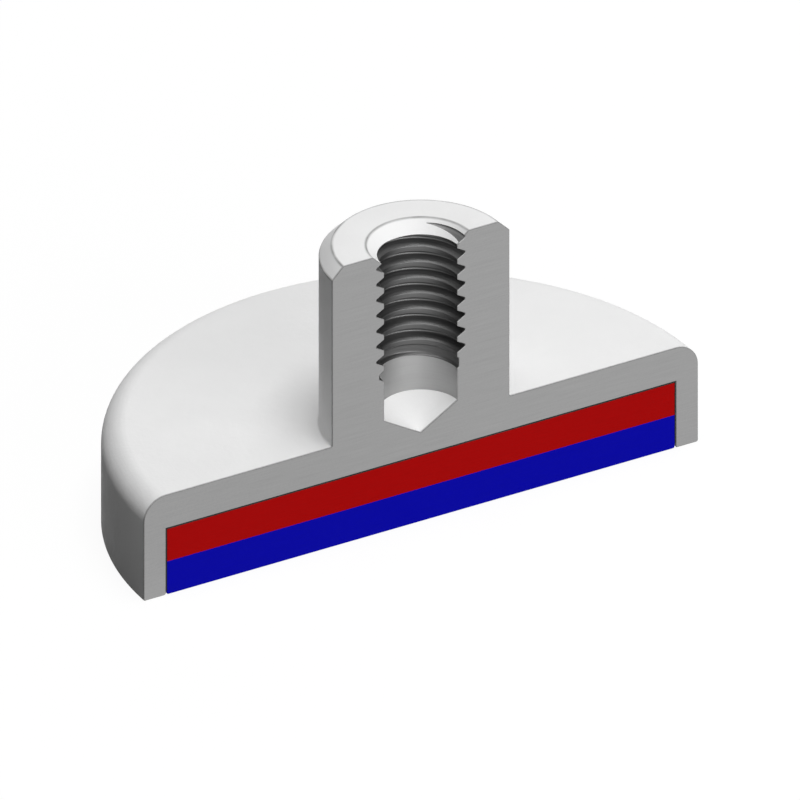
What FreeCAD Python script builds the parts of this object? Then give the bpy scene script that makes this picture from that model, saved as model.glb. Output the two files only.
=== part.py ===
import FreeCAD, Part
import math
import os
import Sketcher
from FreeCAD import Placement, Rotation, Vector

# A flat pot magnet with a tapped stem, cut open through its axis. Millimetres, +Z up.
# The origin is on the turning axis, where the plane of the cut meets the holding face:
# the steel rim and the magnet stand on Z = 0, and all that is left of them lies at Y > 0.

# The driving sizes: name, value and what is measured.
SIZES = (
    ("section_sweep", 180, "degrees that the cut leaves of every turned piece; 360 is uncut"),
    ("pot_diameter", 25, "outside of the steel pot"),
    ("pot_height", 4.5, "holding face to the flat top of the pot"),
    ("pot_wall", 1, "side wall of the pot"),
    ("pot_ceiling", 1.5, "plate over the magnet"),
    ("rim_radius", 1, "rounding of the pot's upper edge"),
    ("stem_diameter", 8, "outside of the stem"),
    ("stem_length", 8, "stem above the pot's flat top"),
    ("stem_chamfer", 0.5, "bevel on the stem's end, at 45 degrees"),
    ("thread_major", 4, "nominal diameter of the stem's thread"),
    ("thread_pitch", 0.7, "rise of one turn of the thread"),
    ("thread_depth", 6, "stem's end to the middle of the last groove"),
    ("drill_depth", 7.5, "stem's end to the full width of the drilled hole"),
    ("drill_point", 118, "degrees between the sides of the drill's tip"),
    ("countersink", 0.5, "bevel on the hole's mouth, at 45 degrees"),
    ("bond_gap", 0.05, "film of adhesive between the magnet and the pot"),
    ("bond_recess", 0.2, "holding face to the lower edge of the film"),
)

# Sizes that follow from the driving ones. Each is an expression on the sheet's cells.
POT_RADIUS = "Sizes.pot_diameter / 2"
CAVITY_RADIUS = "(Sizes.pot_diameter / 2 - Sizes.pot_wall)"
CAVITY_HEIGHT = "(Sizes.pot_height - Sizes.pot_ceiling)"
MAGNET_RADIUS = f"({CAVITY_RADIUS} - Sizes.bond_gap)"
MAGNET_HEIGHT = f"({CAVITY_HEIGHT} - Sizes.bond_gap)"
STEM_RADIUS = "Sizes.stem_diameter / 2"
STEM_TOP = "(Sizes.pot_height + Sizes.stem_length)"
# The hole is drilled one pitch under the thread's nominal diameter.
DRILL_RADIUS = "((Sizes.thread_major - Sizes.thread_pitch) / 2)"
DRILL_FLOOR = f"({STEM_TOP} - Sizes.drill_depth)"
DRILL_TIP = f"({DRILL_FLOOR} - {DRILL_RADIUS} / tan(Sizes.drill_point / 2 * 1deg))"
# The tool that cuts the thread's groove starts in the open half, at Y < 0. Its nose is
# an eighth of the pitch wide, its flanks stand 30 degrees to its middle plane, and it
# is drawn a tenth of the pitch past the wall of the hole.
THREAD_RADIUS = "Sizes.thread_major / 2"
THREAD_START = f"({STEM_TOP} - Sizes.thread_depth)"
TOOL_INSIDE = f"({DRILL_RADIUS} - Sizes.thread_pitch / 10)"
NOSE_HALF = "Sizes.thread_pitch / 16"
BACK_HALF = f"({NOSE_HALF} + ({THREAD_RADIUS} - {TOOL_INSIDE}) * tan(30deg))"


def make_sheet(doc):
    """Write the driving sizes, each with its meaning beside it and a name to call it by."""
    sheet = doc.addObject("Spreadsheet::Sheet", "Sizes")
    for row, (name, value, meaning) in enumerate(SIZES, start=1):
        sheet.set(f"A{row}", meaning)
        sheet.set(f"B{row}", str(value))
        sheet.setAlias(f"B{row}", name)
    doc.recompute()


def make_body(doc, name):
    body = doc.addObject("PartDesign::Body", name)
    body.Label = name
    body.Placement = Placement(Vector(0, 0, 0), Rotation())
    return body


def make_sketch(body, plane, name):
    """Start a sketch on one of the body's own origin planes."""
    sketch = body.newObject("Sketcher::SketchObject", name)
    origin_plane = next(item for item in body.Origin.OriginFeatures if item.Role == plane)
    sketch.AttachmentSupport = [(origin_plane, "")]
    sketch.MapMode = "FlatFace"
    body.Document.recompute()
    return sketch


def sketch_number(name):
    """The number that a sketch's constraints have for its own axes and a side's two ends."""
    return {"horizontal": -1, "vertical": -2, "start": 1, "end": 2}[name]


def tie_corner(sketch, side, name, kind, expression, axis):
    """Hold the start of one side on an axis, or at its distance from the origin."""
    corner = (side, sketch_number("start"))
    if expression == "0":
        sketch.addConstraint(Sketcher.Constraint("PointOnObject", *corner, sketch_number(axis)))
        return
    origin = (sketch_number("horizontal"), sketch_number("start"))
    distance = sketch.evalExpression(expression)
    number = sketch.addConstraint(Sketcher.Constraint(kind, *origin, *corner, distance))
    sketch.renameConstraint(number, name)
    sketch.setExpression(f"Constraints.{name}", expression)


def draw_outline(sketch, corners, rounded=None):
    """Close an outline through named corners, each given as a radius and a height.

    The side that starts at the corner called rounded is a quarter circle, tangent to the
    side before it.
    """
    places = [Vector(*(sketch.evalExpression(size) for size in corner[1:])) for corner in corners]
    names = [corner[0] for corner in corners]
    for name, start, end in zip(names, places, places[1:] + places[:1]):
        if name == rounded:
            circle = Part.Circle(Vector(end.x, start.y), Vector(0, 0, 1), end.y - start.y)
            sketch.addGeometry(Part.ArcOfCircle(circle, 0, math.pi / 2))
        else:
            sketch.addGeometry(Part.LineSegment(start, end))
    for side, (name, radius, height) in enumerate(corners):
        joint = "Tangent" if name == rounded else "Coincident"
        before = ((side - 1) % len(corners), sketch_number("end"))
        sketch.addConstraint(Sketcher.Constraint(joint, *before, side, sketch_number("start")))
        tie_corner(sketch, side, f"{name}_radius", "DistanceX", radius, "vertical")
        tie_corner(sketch, side, f"{name}_height", "DistanceY", height, "horizontal")
    sketch.Document.recompute()


def turn(body, name, corners, rounded=None):
    """Turn an outline about the axis, over the part of the circle that the cut leaves."""
    sketch = make_sketch(body, "XZ_Plane", f"{name}_outline")
    draw_outline(sketch, corners, rounded)
    turned = body.newObject("PartDesign::Revolution", name)
    turned.Profile = sketch
    turned.ReferenceAxis = (sketch, ["V_Axis"])
    turned.setExpression("Angle", "Sizes.section_sweep")
    body.Document.recompute()


def check_removed(body, feature):
    """A cut that points away from the solid takes nothing off and raises no error."""
    body.Document.recompute()
    if feature.Shape.Volume >= feature.BaseFeature.Shape.Volume:
        raise ValueError(f"{feature.Label} takes nothing off {body.Label}")


def drill_stem(body):
    """The blind hole: countersunk mouth, straight wall and the cone that the drill leaves."""
    corners = (
        ("tip", "0", DRILL_TIP),
        ("floor", DRILL_RADIUS, DRILL_FLOOR),
        ("throat", DRILL_RADIUS, f"({STEM_TOP} - Sizes.countersink)"),
        ("mouth", f"({DRILL_RADIUS} + Sizes.countersink)", STEM_TOP),
        ("middle", "0", STEM_TOP),
    )
    sketch = make_sketch(body, "XZ_Plane", "drilled_hole_outline")
    draw_outline(sketch, corners)
    hole = body.newObject("PartDesign::Groove", "drilled_hole")
    hole.Profile = sketch
    hole.ReferenceAxis = (sketch, ["V_Axis"])
    hole.Angle = 360
    check_removed(body, hole)


def tap_stem(body):
    """The right-hand thread: a groove that climbs from the last turn out of the mouth."""
    corners = (
        ("nose_low", f"-{THREAD_RADIUS}", f"{THREAD_START} - {NOSE_HALF}"),
        ("nose_high", f"-{THREAD_RADIUS}", f"{THREAD_START} + {NOSE_HALF}"),
        ("back_high", f"-{TOOL_INSIDE}", f"{THREAD_START} + {BACK_HALF}"),
        ("back_low", f"-{TOOL_INSIDE}", f"{THREAD_START} - {BACK_HALF}"),
    )
    sketch = make_sketch(body, "YZ_Plane", "thread_groove_outline")
    draw_outline(sketch, corners)
    thread = body.newObject("PartDesign::SubtractiveHelix", "thread_groove")
    thread.Profile = sketch
    thread.ReferenceAxis = (sketch, ["V_Axis"])
    thread.Mode = "pitch-height-angle"
    thread.setExpression("Pitch", "Sizes.thread_pitch")
    thread.setExpression("Height", "Sizes.thread_depth + Sizes.thread_pitch")
    check_removed(body, thread)


def make_pot(doc):
    """Pot and stem, turned from one bar: rounded upper edge, flat top, bevelled stem."""
    body = make_body(doc, "pot")
    corners = (
        ("ceiling", "0", CAVITY_HEIGHT),
        ("cavity_corner", CAVITY_RADIUS, CAVITY_HEIGHT),
        ("rim_inside", CAVITY_RADIUS, "0"),
        ("rim_outside", POT_RADIUS, "0"),
        ("shoulder", POT_RADIUS, "(Sizes.pot_height - Sizes.rim_radius)"),
        ("top_edge", f"({POT_RADIUS} - Sizes.rim_radius)", "Sizes.pot_height"),
        ("stem_foot", STEM_RADIUS, "Sizes.pot_height"),
        ("bevel_low", STEM_RADIUS, f"({STEM_TOP} - Sizes.stem_chamfer)"),
        ("bevel_high", f"({STEM_RADIUS} - Sizes.stem_chamfer)", STEM_TOP),
        ("stem_end", "0", STEM_TOP),
    )
    turn(body, "turned_pot", corners, rounded="shoulder")
    drill_stem(body)
    tap_stem(body)
    return body


def make_magnet(doc):
    """The disc magnet, flush with the rim and short of the pot by the film all round."""
    body = make_body(doc, "magnet")
    corners = (
        ("face_middle", "0", "0"),
        ("face_edge", MAGNET_RADIUS, "0"),
        ("back_edge", MAGNET_RADIUS, MAGNET_HEIGHT),
        ("back_middle", "0", MAGNET_HEIGHT),
    )
    turn(body, "disc", corners)
    return body


def make_adhesive(doc):
    """The film that holds the magnet: over its back and down its side, short of the face."""
    body = make_body(doc, "adhesive")
    corners = (
        ("under_middle", "0", MAGNET_HEIGHT),
        ("under_edge", MAGNET_RADIUS, MAGNET_HEIGHT),
        ("lip_inside", MAGNET_RADIUS, "Sizes.bond_recess"),
        ("lip_outside", CAVITY_RADIUS, "Sizes.bond_recess"),
        ("upper_edge", CAVITY_RADIUS, CAVITY_HEIGHT),
        ("upper_middle", "0", CAVITY_HEIGHT),
    )
    turn(body, "film", corners)
    return body


def check_and_write(doc, bodies):
    """Stop on anything that failed or isn't a sound solid, then write one file a piece."""
    doc.recompute()
    for item in doc.Objects:
        if "Invalid" in item.State or "Error" in item.State:
            raise ValueError(f"{item.Label} failed: {item.State}")
    for body in bodies:
        if body.Shape.isNull() or not body.Shape.isValid() or len(body.Shape.Solids) != 1:
            raise ValueError(f"{body.Label} is not one sound solid")
    os.makedirs("parts", exist_ok=True)
    for body in bodies:
        body.Shape.exportStep(f"parts/{body.Label}.step")


def main():
    doc = FreeCAD.newDocument("pot_magnet")
    make_sheet(doc)
    check_and_write(doc, [make_pot(doc), make_magnet(doc), make_adhesive(doc)])


main()
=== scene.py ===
import math
from collections import namedtuple
import bmesh
import bpy
from mathutils import Matrix, Vector


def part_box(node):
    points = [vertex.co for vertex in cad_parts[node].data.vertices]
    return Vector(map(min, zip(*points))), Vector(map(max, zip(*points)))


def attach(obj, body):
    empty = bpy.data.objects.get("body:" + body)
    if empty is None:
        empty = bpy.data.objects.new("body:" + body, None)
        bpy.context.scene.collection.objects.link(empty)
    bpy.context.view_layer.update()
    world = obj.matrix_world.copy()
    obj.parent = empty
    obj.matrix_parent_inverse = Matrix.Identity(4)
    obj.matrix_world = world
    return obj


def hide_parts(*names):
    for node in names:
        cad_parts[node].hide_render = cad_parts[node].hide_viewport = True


# The cut pot magnet, dressed: a white-coated steel pot whose cut shows bare steel, a disc
# magnet with painted poles, and the dark film that holds it. Metres, +Z up. The turning
# axis is Z, the cut lies in the plane Y = 0, and the half that is left is at Y > 0.

MM = 0.001

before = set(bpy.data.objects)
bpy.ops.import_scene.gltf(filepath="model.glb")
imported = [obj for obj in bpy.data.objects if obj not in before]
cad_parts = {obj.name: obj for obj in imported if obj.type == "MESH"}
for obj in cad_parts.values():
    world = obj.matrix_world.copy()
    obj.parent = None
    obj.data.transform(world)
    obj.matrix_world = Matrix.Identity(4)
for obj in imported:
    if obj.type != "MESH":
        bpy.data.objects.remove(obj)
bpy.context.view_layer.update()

# Sizes that the frame gives.
_, pot_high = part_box("pot")
_, magnet_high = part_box("magnet")
film_low, film_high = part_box("adhesive")
POT_RADIUS = pot_high.x
STEM_TOP = pot_high.z
MAGNET_RADIUS = magnet_high.x
MAGNET_HEIGHT = magnet_high.z
CAVITY_RADIUS = film_high.x
CAVITY_HEIGHT = film_high.z
FILM_EDGE = film_low.z

# Sizes that lie inside a piece's box.
POT_HEIGHT = 4.5 * MM
RIM_RADIUS = 1.0 * MM
STEM_RADIUS = 4.0 * MM
STEM_CHAMFER = 0.5 * MM
THREAD_RADIUS = 2.0 * MM
THREAD_PITCH = 0.7 * MM
THREAD_DEPTH = 6.0 * MM
DRILL_RADIUS = THREAD_RADIUS - THREAD_PITCH / 2
DRILL_DEPTH = 7.5 * MM
DRILL_POINT = math.radians(118)
COUNTERSINK = 0.5 * MM
FLANK_ANGLE = math.radians(30)
GROOVE_NOSE = THREAD_PITCH / 8
# The tap's first teeth are ground off, so the last groove fades out over this rise.
THREAD_RUN_OUT = 1.2 * THREAD_PITCH
# The drill's chisel edge leaves this share of the cone's slope as its own small facet.
CHISEL_SHARE = 0.08
POLE_LINE = CAVITY_HEIGHT / 2

# Heights in the hole.
THROAT = STEM_TOP - COUNTERSINK
DRILL_FLOOR = STEM_TOP - DRILL_DEPTH
DRILL_TIP = DRILL_FLOOR - DRILL_RADIUS / math.tan(DRILL_POINT / 2)
THREAD_START = STEM_TOP - THREAD_DEPTH

# Edges are broken by these radii, and the cut's own edges by these bevels. The film is so
# thin that its bevel is a share of its thickness.
OUTER_EDGE = 0.07 * MM
MOUTH_EDGE = 0.04 * MM
STEM_FOOT_EDGE = 0.08 * MM
THREAD_CREST_EDGE = 0.04 * MM
THREAD_ROOT_EDGE = 0.075 * MM
CUT_BEVEL = 0.025 * MM
FILM_BEVEL = 0.2 * (CAVITY_HEIGHT - MAGNET_HEIGHT)

# How fine the shapes are: columns round the half circle, steps to a broken edge and to the
# pot's rounding, and the turn from which an edge is crisp.
COLUMNS = 180
EDGE_STEPS = 4
RIM_STEPS = 16
SHARP_ANGLE = math.radians(35)

# Places this near together are one place, and places this near the countersink's cone lie
# on it.
SAME_PLACE = 1e-8
ON_MOUTH = 0.002 * MM

# The coat's sharp edges, each as a radius and a height.
COAT_EDGES = (
    (DRILL_RADIUS + COUNTERSINK, STEM_TOP),
    (STEM_RADIUS - STEM_CHAMFER, STEM_TOP),
    (STEM_RADIUS, STEM_TOP - STEM_CHAMFER),
    (POT_RADIUS, 0),
    (CAVITY_RADIUS, 0),
)

# The coat is worn thin this near to its sharp edges and to the cut, where it loses up to
# this share of its brightness to the steel. Round the edges the wear comes and goes, and
# this share of it is left where it is least.
WEAR_REACH = 0.09 * MM
WEAR_DEPTH = 0.8
LEAST_WEAR = 0.4

# How a surface looks: its colour as linear red, green and blue, the share by which the
# colour varies, the roughness of its smoothest and roughest spots, and how much light
# glances off it.
Look = namedtuple("Look", "color change smooth rough shine")
COAT_LOOK = Look((0.85, 0.85, 0.85), 0.015, 0.52, 0.62, 0.04)
CUT_LOOK = Look((0.29, 0.29, 0.29), 0.05, 0.48, 0.6, 0.5)
# The thread's colour is darker than the other bare steel: partly the tapped steel's own tone,
# partly painted shade for its grooves.
TAPPED_SHADED_LOOK = Look((0.12, 0.12, 0.12), 0.15, 0.4, 0.52, 0.5)
SCRAPED_LOOK = Look((0.36, 0.36, 0.36), 0.06, 0.45, 0.58, 0.5)
UPPER_POLE_LOOK = Look((0.47, 0.001, 0.001), 0.04, 0.42, 0.54, 0.08)
LOWER_POLE_LOOK = Look((0.001, 0.001, 0.47), 0.04, 0.42, 0.54, 0.08)
FILM_LOOK = Look((0.012, 0.012, 0.012), 0.2, 0.5, 0.7, 0.3)

# One kind of mark on a surface: its grains of noise to the millimetre in three directions,
# and how far it stands out. The directions are those of the axes, but for the marks of the
# lathe and the tap they are outward, round by the radian, and up. A mark of no height only
# changes the colour.
Mark = namedtuple("Mark", "grains height")
TURNING_MARKS = Mark((7.0, 0.4, 7.0), 0.004 * MM)
COAT_PEEL = Mark((1.7, 1.7, 1.7), 0.015 * MM)
COAT_GRAIN = Mark((7.0, 7.0, 7.0), 0.006 * MM)
COAT_CLOUDS = Mark((0.35, 0.35, 0.35), 0)
WORN_PATCHES = Mark((0.8, 0.8, 0.8), 0)
GROUND_LINES = Mark((0.5, 1.0, 22.0), 0.002 * MM)
GROUND_GRAIN = Mark((9.0, 9.0, 9.0), 0.001 * MM)
TAP_MARKS = Mark((12.0, 0.8, 12.0), 0.002 * MM)
SCRAPED_RINGS = Mark((9.0, 0.5, 12.0), 0.002 * MM)
PAINT_PEEL = Mark((2.6, 2.6, 2.6), 0.005 * MM)
PAINT_GRAIN = Mark((1.2, 1.2, 14.0), 0.001 * MM)
FILM_LUMPS = Mark((6.0, 6.0, 6.0), 0.004 * MM)

# Noise comes out mostly between the first two values. The third is how many finer layers
# it has.
NOISE_LOW = 0.3
NOISE_HIGH = 0.7
NOISE_DETAIL = 3.0

# The camera's place: its direction from the photo's slopes, and its framing from the
# photo's scale and the pixel where the origin of the part falls.
FRAME_PIXELS = 800
PIXELS_PER_MM = 25.6
ORIGIN_PIXEL = (421.0, 521.4)
AZIMUTH = math.radians(-30)
ELEVATION = math.radians(30)
CAMERA_DISTANCE = 200 * MM
CAMERA_NEAR = 1 * MM
CAMERA_FAR = 2000 * MM

# The studio's floor is dark and lies just under the object. Its near white glow shows to
# the eye and in reflections but lights nothing. The white all around does the same, apart
# from an ambient share of it, which lights everything evenly.
FLOOR_REACH = 3000 * MM
FLOOR_GAP = 0.01 * MM
FLOOR_COLOR = (0.08, 0.08, 0.08)
FLOOR_GLOW = 0.93
AMBIENT = 0.05

# The lamps: name, place, width and height, and how bright the face is.
LAMPS = (
    ("overhead", (15 * MM, -20 * MM, 400 * MM), (220 * MM, 220 * MM), 7.8),
    ("front", (20 * MM, -217 * MM, 60 * MM), (260 * MM, 100 * MM), 4.4),
    ("back", (145 * MM, 165 * MM, 60 * MM), (260 * MM, 100 * MM), 1.8),
)


def point(radius, height):
    """A place on an outline: distance from the axis and height."""
    return Vector((radius, height))


def rounded(corners, radii):
    """The open outline through corners, with an arc of the given radius at each inner one.

    An arc always has the same number of points and takes at most half of either side, so
    outlines of one kind match point for point.
    """
    outline = [corners[0]]
    for before, corner, after, radius in zip(corners, corners[1:], corners[2:], radii):
        back, on = before - corner, after - corner
        room = min(back.length, on.length) / 2
        if radius == 0:
            outline.append(corner)
            continue
        if room < SAME_PLACE:
            outline += [corner] * (EDGE_STEPS + 1)
            continue
        half_turn = (math.pi - back.angle(on)) / 2
        reach = min(radius * math.tan(half_turn), room)
        back, on = back.normalized(), on.normalized()
        centre = corner + (back + on).normalized() * reach / math.sin(half_turn)
        start, end = corner + back * reach - centre, corner + on * reach - centre
        shares = [step / EDGE_STEPS for step in range(EDGE_STEPS + 1)]
        outline += [centre + start.length * start.slerp(end, share) for share in shares]
    outline.append(corners[-1])
    return outline


def groove_height(number, angle):
    """Where the middle of one groove crosses an angle; the tool starts at Y < 0."""
    return THREAD_START + (number + (angle + math.pi / 2) / (2 * math.pi)) * THREAD_PITCH


def groove(middle):
    """One groove of the thread at the height where its middle crosses a column."""
    fade = (middle - THREAD_START) / THREAD_RUN_OUT
    root = DRILL_RADIUS + (THREAD_RADIUS - DRILL_RADIUS) * min(max(fade, 0.0), 1.0)
    foot_half = GROOVE_NOSE / 2 + (THREAD_RADIUS - DRILL_RADIUS) * math.tan(FLANK_ANGLE)
    root_half = GROOVE_NOSE / 2 + (THREAD_RADIUS - root) * math.tan(FLANK_ANGLE)
    corners = [
        point(DRILL_RADIUS, middle - THREAD_PITCH / 2),
        point(DRILL_RADIUS, middle - foot_half),
        point(root, middle - root_half),
        point(root, middle + root_half),
        point(DRILL_RADIUS, middle + foot_half),
        point(DRILL_RADIUS, middle + THREAD_PITCH / 2),
    ]
    radii = (THREAD_CREST_EDGE, THREAD_ROOT_EDGE, THREAD_ROOT_EDGE, THREAD_CREST_EDGE)
    return rounded(corners, radii)[1:-1]


def depth_past_mouth(place):
    """How far a place lies outside the countersink's cone; below zero it is cut away."""
    return (place.x - DRILL_RADIUS) - (place.y - THROAT)


def crossing(inner, outer):
    """Where the line between two places meets the countersink's cone."""
    start, end = depth_past_mouth(inner), depth_past_mouth(outer)
    return inner.lerp(outer, start / (start - end))


def clipped(places, last):
    """Draw the places that the countersink has cut away back to its cone."""
    kept = [depth_past_mouth(place) >= 0 for place in places]
    if not any(kept):
        return [last] * len(places)
    first, final = kept.index(True), len(kept) - 1 - kept[::-1].index(True)
    enter = crossing(places[first - 1], places[first]) if first else places[0]
    leave = places[-1] if final == len(places) - 1 else crossing(places[final], places[final + 1])
    return [enter] * first + places[first:final + 1] + [leave] * (len(places) - 1 - final)


def bored_wall(angle):
    """The wall of the hole at one angle, from the drill's tip to the throat or past it."""
    tip, floor = point(0, DRILL_TIP), point(DRILL_RADIUS, DRILL_FLOOR)
    wall = [tip, tip.lerp(floor, CHISEL_SHARE), floor]
    count = math.ceil((THREAD_DEPTH + THREAD_PITCH) / THREAD_PITCH)
    grooves = [groove(groove_height(number, angle)) for number in range(count)]
    for number, places in enumerate(grooves):
        wall += clipped(places, wall[-1])
        land_start = places[-1].y
        land_end = grooves[number + 1][0].y if number + 1 < count else STEM_TOP
        if land_start <= THROAT <= land_end:
            wall.append(point(DRILL_RADIUS, THROAT))
        elif THROAT > land_end:
            wall.append(point(DRILL_RADIUS, (land_start + land_end) / 2))
        else:
            wall.append(wall[-1])
    return wall


def pot_outline(angle):
    """The pot at one angle: up the hole, over the stem and the pot, and down to the ceiling."""
    corners = [
        point(DRILL_RADIUS + COUNTERSINK / 2, STEM_TOP - COUNTERSINK / 2),
        point(DRILL_RADIUS + COUNTERSINK, STEM_TOP),
        point(STEM_RADIUS - STEM_CHAMFER, STEM_TOP),
        point(STEM_RADIUS, STEM_TOP - STEM_CHAMFER),
        point(STEM_RADIUS, POT_HEIGHT),
        point((STEM_RADIUS + POT_RADIUS) / 2, POT_HEIGHT),
    ]
    stem = rounded(corners, (MOUTH_EDGE, OUTER_EDGE, OUTER_EDGE, STEM_FOOT_EDGE))[1:-1]
    centre = point(POT_RADIUS - RIM_RADIUS, POT_HEIGHT - RIM_RADIUS)
    quarter = [math.pi / 2 * (1 - step / RIM_STEPS) for step in range(RIM_STEPS + 1)]
    rim = [centre + RIM_RADIUS * point(math.cos(turn), math.sin(turn)) for turn in quarter]
    corners = [
        rim[-1],
        point(POT_RADIUS, 0),
        point(CAVITY_RADIUS, 0),
        point(CAVITY_RADIUS, CAVITY_HEIGHT),
        point(0, CAVITY_HEIGHT),
    ]
    foot = rounded(corners, (OUTER_EDGE, OUTER_EDGE, 0))[1:]
    return bored_wall(angle) + stem + rim + foot


def magnet_outline(angle):
    """The magnet is the same at every angle: a disc with both rims broken."""
    corners = [
        point(0, 0),
        point(MAGNET_RADIUS, 0),
        point(MAGNET_RADIUS, MAGNET_HEIGHT),
        point(0, MAGNET_HEIGHT),
    ]
    return rounded(corners, (OUTER_EDGE, OUTER_EDGE))


def film_outline(angle):
    """The film is the same at every angle: a sheet over the magnet and a skirt round it."""
    return [
        point(0, MAGNET_HEIGHT),
        point(MAGNET_RADIUS, MAGNET_HEIGHT),
        point(MAGNET_RADIUS, FILM_EDGE),
        point(CAVITY_RADIUS, FILM_EDGE),
        point(CAVITY_RADIUS, CAVITY_HEIGHT),
        point(0, CAVITY_HEIGHT),
    ]


def inset(outline, distance):
    """A closed outline drawn in by a distance, square to each of its sides."""
    nexts = outline[1:] + outline[:1]
    area = sum(place.cross(after) for place, after in zip(outline, nexts)) / 2
    inward = math.copysign(distance, area)
    moved = []
    for number, (place, after) in enumerate(zip(outline, nexts)):
        sides = (place - outline[number - 1]).normalized(), (after - place).normalized()
        square = [Vector((-side.y, side.x)) for side in sides]
        middle = (square[0] + square[1]).normalized()
        moved.append(place + middle * inward / middle.dot(square[0]))
    return moved


def without_repeats(places):
    """A closed outline's places with repeats dropped, and the number that each one got."""
    kept, numbers = [places[0]], [0]
    for place in places[1:]:
        if (place - kept[-1]).length > SAME_PLACE:
            kept.append(place)
        numbers.append(len(kept) - 1)
    if (kept[-1] - kept[0]).length <= SAME_PLACE:
        kept.pop()
    return kept, [number % len(kept) for number in numbers]


def add_column(shape, outline, angle, bevel):
    """The outline's points at one angle; the first and last columns stop short of the cut."""
    side = 1 if angle < math.pi / 2 else -1
    column = []
    for radius, height in outline:
        depth = max(radius * math.sin(angle), bevel)
        across = math.sqrt(max(radius ** 2 - depth ** 2, 0))
        column.append(shape.verts.new((side * across, depth, height)))
    return column


def add_cut(shape, outlines, columns, bevel):
    """The flat cut face, and the narrow bevel between it and the turned surfaces."""
    mirrored = [Vector((-place.x, place.y)) for place in outlines[-1]]
    around = outlines[0] + mirrored[::-1]
    edge = columns[0] + columns[-1][::-1]
    kept, numbers = without_repeats(around)
    face_points = [shape.verts.new((place.x, 0, place.y)) for place in inset(kept, bevel)]
    for number in range(len(around)):
        after = (number + 1) % len(around)
        near, far = face_points[numbers[number]], face_points[numbers[after]]
        corners = [edge[number], edge[after], far]
        if near is not far:
            corners.append(near)
        shape.faces.new(corners)
    shape.faces.new(face_points)


def finish_surfaces(shape, surface_of):
    """Give each face its material's number, and keep sharp and meeting edges crisp."""
    for face in shape.faces:
        face.smooth = True
        face.material_index = surface_of([corner.co for corner in face.verts])
    for edge in shape.edges:
        surfaces = {face.material_index for face in edge.link_faces}
        edge.smooth = len(surfaces) == 1 and edge.calc_face_angle() < SHARP_ANGLE


def half_turned(name, outline_at, surface_of=lambda places: 0, bevel=CUT_BEVEL, level=None):
    """A solid turned over half a circle and closed by its cut face.

    Where a level is given, its faces are parted at that height.
    """
    angles = [math.pi * number / COLUMNS for number in range(COLUMNS + 1)]
    outlines = [outline_at(angle) for angle in angles]
    shape = bmesh.new()
    columns = [add_column(shape, *pair, bevel) for pair in zip(outlines, angles)]
    for left, right in zip(columns, columns[1:]):
        for number in range(len(left) - 1):
            shape.faces.new((left[number], right[number], right[number + 1], left[number + 1]))
    add_cut(shape, outlines, columns, bevel)
    bmesh.ops.remove_doubles(shape, verts=shape.verts, dist=SAME_PLACE)
    bmesh.ops.dissolve_degenerate(shape, dist=SAME_PLACE, edges=shape.edges)
    if level is not None:
        everything = [*shape.verts, *shape.edges, *shape.faces]
        bmesh.ops.bisect_plane(shape, geom=everything, plane_co=(0, 0, level), plane_no=(0, 0, 1))
    bmesh.ops.recalc_face_normals(shape, faces=shape.faces)
    finish_surfaces(shape, surface_of)
    mesh = bpy.data.meshes.new(name)
    shape.to_mesh(mesh)
    shape.free()
    piece = bpy.data.objects.new(name, mesh)
    bpy.context.scene.collection.objects.link(piece)
    return piece


def add_node(tree, kind, inputs, **settings):
    """A node with its settings, and each input either joined to a socket or set."""
    node = tree.nodes.new(kind)
    for name, value in settings.items():
        setattr(node, name, value)
    for name, value in inputs.items():
        if isinstance(value, bpy.types.NodeSocket):
            tree.links.new(value, node.inputs[name])
        else:
            node.inputs[name].default_value = value
    return node


def worked_out(tree, operation, *values):
    """The result of one sum on sockets or numbers."""
    return add_node(tree, "ShaderNodeMath", dict(enumerate(values)), operation=operation).outputs[0]


def scaled(tree, values, share):
    """A colour or a place, set or from a socket, times a share."""
    inputs = {0: values, "Scale": share}
    return add_node(tree, "ShaderNodeVectorMath", inputs, operation="SCALE").outputs[0]


def carried_over(tree, value, old_range, new_range):
    """A value carried over from one range to another, and held at the ends of the new one."""
    inputs = dict(enumerate((value, *old_range, *new_range)))
    return add_node(tree, "ShaderNodeMapRange", inputs).outputs[0]


def place_in_mm(tree):
    """The place on the piece in millimetres, split in its three directions."""
    place = add_node(tree, "ShaderNodeTexCoord", {}).outputs["Object"]
    return add_node(tree, "ShaderNodeSeparateXYZ", {0: scaled(tree, place, 1 / MM)}).outputs


def place_on_lathe(tree, rise=0.0):
    """The distance from the axis in millimetres, the angle round it, and the height.

    The height is taken from a screw line that rises by so many millimetres in one turn.
    """
    x, y, z = place_in_mm(tree)
    squares = [worked_out(tree, "MULTIPLY", part, part) for part in (x, y)]
    distance = worked_out(tree, "SQRT", worked_out(tree, "ADD", *squares))
    angle = worked_out(tree, "ARCTAN2", y, x)
    return distance, angle, worked_out(tree, "MULTIPLY_ADD", angle, -rise / (2 * math.pi), z)


def noise_of(tree, place, mark):
    """The noise of one kind of mark, from a place split in its three directions."""
    pairs = zip(place, mark.grains)
    parts = [worked_out(tree, "MULTIPLY", part, grains) for part, grains in pairs]
    stretched = add_node(tree, "ShaderNodeCombineXYZ", dict(enumerate(parts))).outputs[0]
    inputs = {"Vector": stretched, "Scale": 1.0, "Detail": NOISE_DETAIL}
    return add_node(tree, "ShaderNodeTexNoise", inputs).outputs[0]


def spread(tree, noise, low, high):
    """Noise spread between two values."""
    return carried_over(tree, noise, (NOISE_LOW, NOISE_HIGH), (low, high))


def tinted(tree, look, noise):
    """A look's colour, made darker and lighter by noise."""
    return scaled(tree, look.color, spread(tree, noise, 1 - look.change, 1 + look.change))


def roughened(tree, look, noise):
    """A look's roughness, from its smoothest to its roughest spots."""
    return spread(tree, noise, look.smooth, look.rough)


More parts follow.
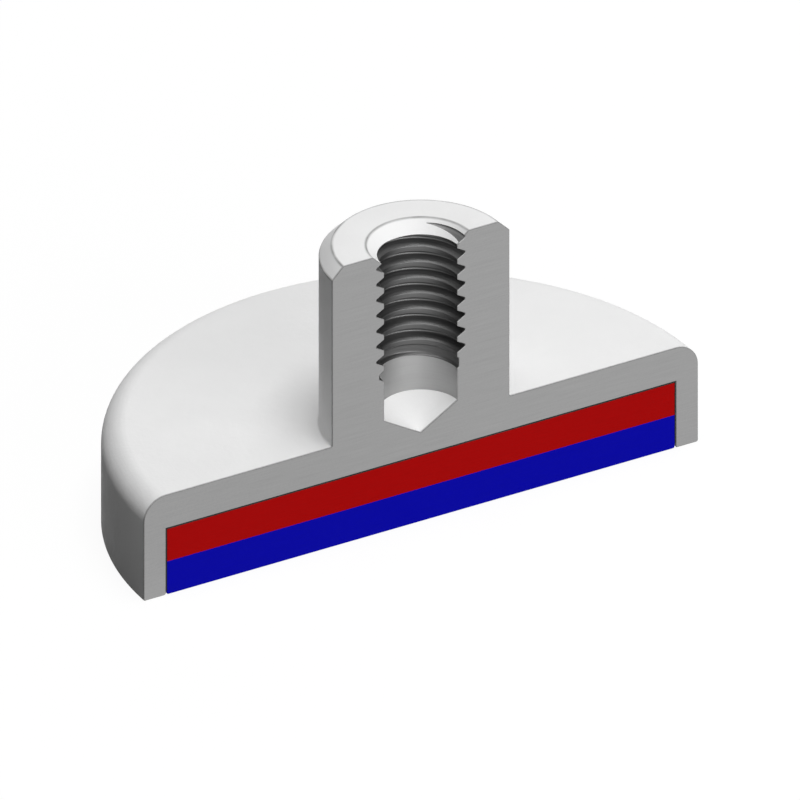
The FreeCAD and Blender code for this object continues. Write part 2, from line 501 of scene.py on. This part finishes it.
def relief(tree, *layers):
    """Bumps from several noises, each given with its mark."""
    normal = None
    for noise, mark in layers:
        inputs = {"Height": noise, "Distance": mark.height, "Strength": 1.0}
        if normal:
            inputs["Normal"] = normal
        normal = add_node(tree, "ShaderNodeBump", inputs).outputs[0]
    return normal


def edge_gap(tree, distance, height):
    """The distance from the nearest of the coat's sharp edges, up to the wear's reach."""
    spot = add_node(tree, "ShaderNodeCombineXYZ", {0: distance, 1: height}).outputs[0]
    nearest = WEAR_REACH / MM
    for radius, level in COAT_EDGES:
        inputs = {0: spot, 1: (radius / MM, level / MM, 0)}
        gap = add_node(tree, "ShaderNodeVectorMath", inputs, operation="DISTANCE").outputs["Value"]
        nearest = worked_out(tree, "MINIMUM", nearest, gap)
    return nearest


def worn(tree, gap):
    """One where there is no gap, and nothing from the wear's reach on."""
    return carried_over(tree, gap, (0.0, WEAR_REACH / MM), (1.0, 0.0))


def brightness_left(tree, place, lathe_place):
    """The share of the coat's brightness that the wear leaves."""
    _, from_cut, _ = place
    distance, _, height = lathe_place
    patches = spread(tree, noise_of(tree, place, WORN_PATCHES), LEAST_WEAR, 1.0)
    edge_wear = worn(tree, edge_gap(tree, distance, height))
    patchy_wear = worked_out(tree, "MULTIPLY", edge_wear, patches)
    wear = worked_out(tree, "MAXIMUM", worn(tree, from_cut), patchy_wear)
    return worked_out(tree, "MULTIPLY_ADD", wear, -WEAR_DEPTH, 1.0)


def new_material(name, shine, metallic=0.0):
    """An empty material with its node tree and its shader."""
    material = bpy.data.materials.new(name)
    material.use_nodes = True
    tree = material.node_tree
    shader = tree.nodes["Principled BSDF"]
    shader.inputs["Metallic"].default_value = metallic
    shader.inputs["Specular IOR Level"].default_value = shine
    return material, tree, shader


def join(tree, shader, color, roughness, normal):
    """Lead a colour, a roughness and a relief into a shader."""
    tree.links.new(color, shader.inputs["Base Color"])
    tree.links.new(roughness, shader.inputs["Roughness"])
    tree.links.new(normal, shader.inputs["Normal"])


def coat_material():
    """Satin white coat, thin along its edges, with the steel's turning marks under it."""
    material, tree, shader = new_material("white_coat", COAT_LOOK.shine)
    place = place_in_mm(tree)
    lathe_place = place_on_lathe(tree)
    marks = noise_of(tree, lathe_place, TURNING_MARKS)
    peel = noise_of(tree, place, COAT_PEEL)
    grain = noise_of(tree, place, COAT_GRAIN)
    color = tinted(tree, COAT_LOOK, noise_of(tree, place, COAT_CLOUDS))
    color = scaled(tree, color, brightness_left(tree, place, lathe_place))
    normal = relief(tree, (peel, COAT_PEEL), (grain, COAT_GRAIN), (marks, TURNING_MARKS))
    join(tree, shader, color, roughened(tree, COAT_LOOK, peel), normal)
    return material


def cut_material():
    """Bare steel where the pot was cut, ground flat along the cut."""
    material, tree, shader = new_material("cut_steel", CUT_LOOK.shine, metallic=1.0)
    place = place_in_mm(tree)
    lines = noise_of(tree, place, GROUND_LINES)
    grain = noise_of(tree, place, GROUND_GRAIN)
    color = tinted(tree, CUT_LOOK, lines)
    normal = relief(tree, (lines, GROUND_LINES), (grain, GROUND_GRAIN))
    join(tree, shader, color, roughened(tree, CUT_LOOK, grain), normal)
    return material


def thread_material():
    """The thread, tapped after coating: dark steel with the tap's marks along the groove. Its
    darkness is partly the tapped steel's own tone and partly painted shade for the grooves.
    """
    material, tree, shader = new_material("tapped_steel_painted_shade", TAPPED_SHADED_LOOK.shine, metallic=1.0)
    marks = noise_of(tree, place_on_lathe(tree, THREAD_PITCH / MM), TAP_MARKS)
    color = tinted(tree, TAPPED_SHADED_LOOK, marks)
    normal = relief(tree, (marks, TAP_MARKS))
    join(tree, shader, color, roughened(tree, TAPPED_SHADED_LOOK, marks), normal)
    return material


def scraped_material():
    """The wall under the thread, where the tap's blunt first teeth took the coat off."""
    material, tree, shader = new_material("scraped_steel", SCRAPED_LOOK.shine, metallic=1.0)
    rings = noise_of(tree, place_on_lathe(tree), SCRAPED_RINGS)
    color = tinted(tree, SCRAPED_LOOK, rings)
    normal = relief(tree, (rings, SCRAPED_RINGS))
    join(tree, shader, color, roughened(tree, SCRAPED_LOOK, rings), normal)
    return material


def pole_material(name, look):
    """Satin paint on one pole of the magnet."""
    material, tree, shader = new_material(name, look.shine)
    place = place_in_mm(tree)
    peel = noise_of(tree, place, PAINT_PEEL)
    grain = noise_of(tree, place, PAINT_GRAIN)
    color = tinted(tree, look, grain)
    normal = relief(tree, (peel, PAINT_PEEL), (grain, PAINT_GRAIN))
    join(tree, shader, color, roughened(tree, look, peel), normal)
    return material


def film_material():
    """Dark cured adhesive."""
    material, tree, shader = new_material("dark_adhesive", FILM_LOOK.shine)
    lumps = noise_of(tree, place_in_mm(tree), FILM_LUMPS)
    color = tinted(tree, FILM_LOOK, lumps)
    normal = relief(tree, (lumps, FILM_LUMPS))
    join(tree, shader, color, roughened(tree, FILM_LOOK, lumps), normal)
    return material


# Which of the pot's materials a face takes.
COAT, CUT, THREAD, SCRAPED = range(4)


def pot_surface(places):
    """The material for the pot's face that has its corners at these places.

    The bevel along the cut keeps the worn coat where it meets the coat, and is cut steel
    where it meets the bare wall of the hole. That wall is thread from half a pitch under
    the middle of the first groove.
    """
    turned = [place for place in places if place.y > CUT_BEVEL - SAME_PLACE]
    if not turned:
        return CUT
    spots = [point(math.hypot(place.x, place.y), place.z) for place in turned]
    on_mouth = all(abs(depth_past_mouth(spot)) < ON_MOUTH for spot in spots)
    middle = sum(turned, Vector()) / len(turned)
    in_bore = max(spot.x for spot in spots) < THREAD_RADIUS + SAME_PLACE
    if on_mouth or not in_bore or not DRILL_FLOOR < middle.z < STEM_TOP:
        return COAT
    if len(turned) < len(places):
        return CUT
    lowest = groove_height(0, math.atan2(middle.y, middle.x)) - THREAD_PITCH / 2
    return THREAD if middle.z > lowest else SCRAPED


def pole_surface(places):
    """The magnet's upper pole is its first material and its lower pole the second."""
    return 0 if sum(place.z for place in places) / len(places) > POLE_LINE else 1


def dress(piece, node, materials):
    """Hand a piece its materials, hang it under the root body, and hide the CAD part of its node.
    """
    for material in materials:
        piece.data.materials.append(material)
    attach(piece, "root")
    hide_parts(node)


def seen_share(tree):
    """One for rays that show the surroundings, from the camera or by way of a surface."""
    paths = add_node(tree, "ShaderNodeLightPath", {}).outputs
    shiny = worked_out(tree, "MAXIMUM", paths["Is Glossy Ray"], paths["Is Transmission Ray"])
    return worked_out(tree, "MAXIMUM", paths["Is Camera Ray"], shiny)


def add_floor():
    """A plain floor that is white to look at and keeps the object's shadow."""
    mesh = bpy.data.meshes.new("floor")
    sides = (-1, -1), (1, -1), (1, 1), (-1, 1)
    corners = [(across * FLOOR_REACH, along * FLOOR_REACH, 0) for across, along in sides]
    mesh.from_pydata(corners, [], [(0, 1, 2, 3)])
    floor = bpy.data.objects.new("floor", mesh)
    floor.location.z = -FLOOR_GAP
    bpy.context.scene.collection.objects.link(floor)
    material, tree, shader = new_material("pale_floor", shine=0.0)
    shader.inputs["Base Color"].default_value = (*FLOOR_COLOR, 1)
    shader.inputs["Roughness"].default_value = 1.0
    shader.inputs["Emission Color"].default_value = (1, 1, 1, 1)
    glow = worked_out(tree, "MULTIPLY", seen_share(tree), FLOOR_GLOW)
    tree.links.new(glow, shader.inputs["Emission Strength"])
    mesh.materials.append(material)


def add_world():
    """White to look at, and a low even light on everything."""
    world = bpy.data.worlds.new("studio")
    world.use_nodes = True
    tree = world.node_tree
    background = tree.nodes["Background"]
    background.inputs["Color"].default_value = (1, 1, 1, 1)
    lift = worked_out(tree, "MULTIPLY_ADD", seen_share(tree), 1 - AMBIENT, AMBIENT)
    tree.links.new(lift, background.inputs["Strength"])
    bpy.context.scene.world = world


def add_lamp(name, place, size, radiance):
    """A soft light that faces the object; radiance is how bright its face is."""
    lamp = bpy.data.lights.new(name, "AREA")
    lamp.shape = "RECTANGLE"
    lamp.size, lamp.size_y = size
    lamp.energy = radiance * math.pi * lamp.size * lamp.size_y
    holder = bpy.data.objects.new(name, lamp)
    holder.location = place
    holder.rotation_mode = "QUATERNION"
    holder.rotation_quaternion = Vector(place).to_track_quat("Z", "Y")
    bpy.context.scene.collection.objects.link(holder)


def add_camera():
    """A parallel view at the photo's angle, scale and framing."""
    back = Vector((
        math.sin(AZIMUTH) * math.cos(ELEVATION),
        -math.cos(AZIMUTH) * math.cos(ELEVATION),
        math.sin(ELEVATION),
    ))
    right = Vector((math.cos(AZIMUTH), math.sin(AZIMUTH), 0))
    up = back.cross(right)
    per_pixel = MM / PIXELS_PER_MM
    across = (FRAME_PIXELS / 2 - ORIGIN_PIXEL[0]) * per_pixel
    above = (ORIGIN_PIXEL[1] - FRAME_PIXELS / 2) * per_pixel
    lens = bpy.data.cameras.new("camera")
    lens.type = "ORTHO"
    lens.ortho_scale = FRAME_PIXELS * per_pixel
    lens.clip_start = CAMERA_NEAR
    lens.clip_end = CAMERA_FAR
    camera = bpy.data.objects.new("camera", lens)
    camera.rotation_mode = "QUATERNION"
    camera.rotation_quaternion = Matrix((right, up, back)).transposed().to_quaternion()
    camera.location = right * across + up * above + back * CAMERA_DISTANCE
    bpy.context.scene.collection.objects.link(camera)
    bpy.context.scene.camera = camera


pot = half_turned("pot_body", pot_outline, pot_surface)
metals = [cut_material(), thread_material(), scraped_material()]
dress(pot, "pot", [coat_material(), *metals])

magnet = half_turned("magnet_disc", magnet_outline, pole_surface, level=POLE_LINE)
upper_pole = pole_material("upper_pole", UPPER_POLE_LOOK)
lower_pole = pole_material("lower_pole", LOWER_POLE_LOOK)
dress(magnet, "magnet", [upper_pole, lower_pole])

film = half_turned("adhesive_film", film_outline, bevel=FILM_BEVEL)
dress(film, "adhesive", [film_material()])

add_floor()
add_world()
for lamp in LAMPS:
    add_lamp(*lamp)
add_camera()
bpy.context.scene.view_settings.view_transform = "Standard"
